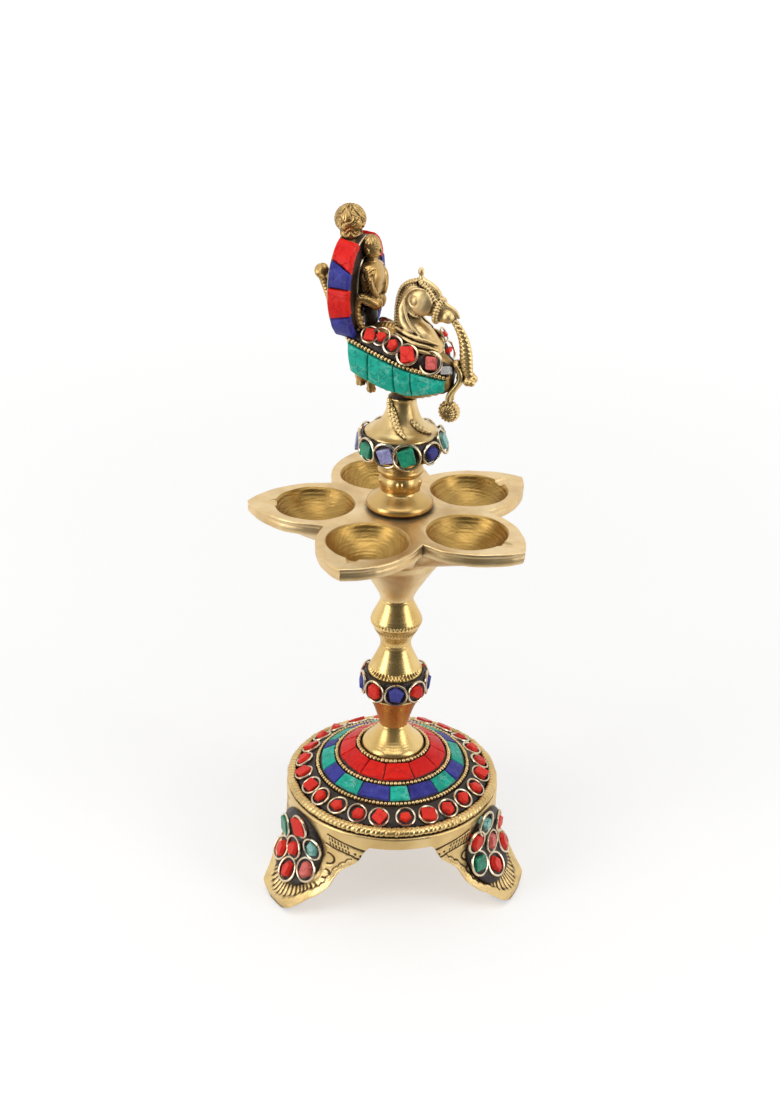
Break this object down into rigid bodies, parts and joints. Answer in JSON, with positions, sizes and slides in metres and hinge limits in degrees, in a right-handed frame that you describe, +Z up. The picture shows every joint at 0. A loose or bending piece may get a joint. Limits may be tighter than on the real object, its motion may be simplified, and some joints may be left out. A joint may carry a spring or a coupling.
{
  "type": "oil lamp",
  "caption": "Footed brass oil lamp with petal-shaped oil cups round a turned stem, stone inlay on the base and a peacock finial that screws on.",
  "frame": {"origin": "on the lamp's axis at floor level, under the middle of the stem", "axes": "+Z up along the stem; the peacock looks towards azimuth -15 degrees, measured from +X towards +Y"},
  "size_m": [0.0911, 0.0905, 0.2202],
  "materials": {
    "brass": "turned and polished, darker in the recesses",
    "aged_brass": "cast and chased, brown patina in the recesses",
    "black_lac": "satin black lac",
    "coral_stone": "polished red stone chips",
    "lapis_stone": "polished blue stone tiles",
    "turquoise_stone": "polished green-blue stone tiles",
    "steel": "plain zinc-plated steel"
  },
  "bodies": {
    "base": {"base_casting": "brass", "rope_rim": "aged_brass", "bead_ring_inner": "aged_brass", "bead_ring_middle": "aged_brass", "bead_ring_outer": "aged_brass", "coral_tile_ring": "coral_stone", "lapis_tiles": "lapis_stone", "turquoise_tiles": "turquoise_stone", "base_cell_band": "black_lac", "base_cell_chips": "coral_stone", "leg_panel_1": "black_lac", "leg_chips_1": "coral_stone", "leg_panel_2": "black_lac", "leg_chips_2": "coral_stone", "leg_panel_3": "black_lac", "leg_chips_3": "coral_stone", "tie_rod": "steel", "base_washer": "steel", "base_nut": "steel", "stem_foot": "brass", "stem_bell": "brass", "stem_cell_band": "black_lac", "stem_chips": "coral_stone", "stem_knop": "brass"},
    "plate": {"petal_plate": "brass"},
    "finial_foot": {"finial_foot": "brass"},
    "finial": {"finial_pedestal": "brass", "collar_cell_band": "black_lac", "collar_chips": "turquoise_stone", "peacock_body": "aged_brass", "peacock_neck": "aged_brass", "wing_tile_r1": "turquoise_stone", "wing_tile_r2": "turquoise_stone", "wing_tile_r3": "turquoise_stone", "wing_tile_r4": "turquoise_stone", "wing_wire_r": "aged_brass", "back_cell_band_r": "black_lac", "back_chips_r": "coral_stone", "wing_tile_l1": "turquoise_stone", "wing_tile_l2": "turquoise_stone", "wing_tile_l3": "turquoise_stone", "wing_tile_l4": "turquoise_stone", "wing_wire_l": "aged_brass", "back_cell_band_l": "black_lac", "back_chips_l": "coral_stone", "beak_garland": "aged_brass", "breast_scroll": "aged_brass", "tail_hoop": "aged_brass", "hoop_tile_r1": "coral_stone", "hoop_tile_r2": "lapis_stone", "hoop_tile_r3": "coral_stone", "hoop_tile_r4": "lapis_stone", "hoop_tile_l1": "coral_stone", "hoop_tile_l2": "lapis_stone", "hoop_tile_l3": "coral_stone", "hoop_tile_l4": "lapis_stone", "hoop_crest": "aged_brass", "tail_curl": "aged_brass", "seated_figure": "aged_brass"}
  },
  "joints": [
    {"name": "plate_turn", "type": "hinge", "parent": "base", "child": "plate", "pos_m": [0, 0, 0.0996], "axis": [0, 0, 1], "continuous": true},
    {"name": "finial_lift", "type": "slide", "parent": "base", "child": "finial_foot", "axis": [0, 0, 1], "range_m": [0, 0.0056]},
    {"name": "finial_unscrew", "type": "hinge", "parent": "finial_foot", "child": "finial", "pos_m": [0, 0, 0.1445], "axis": [0, 0, 1], "range_deg": [0, 2520]}
  ],
  "couplings": [
    {"joint": "finial_lift", "follows": "finial_unscrew", "m_per_rad": 0.00012732}
  ]
}
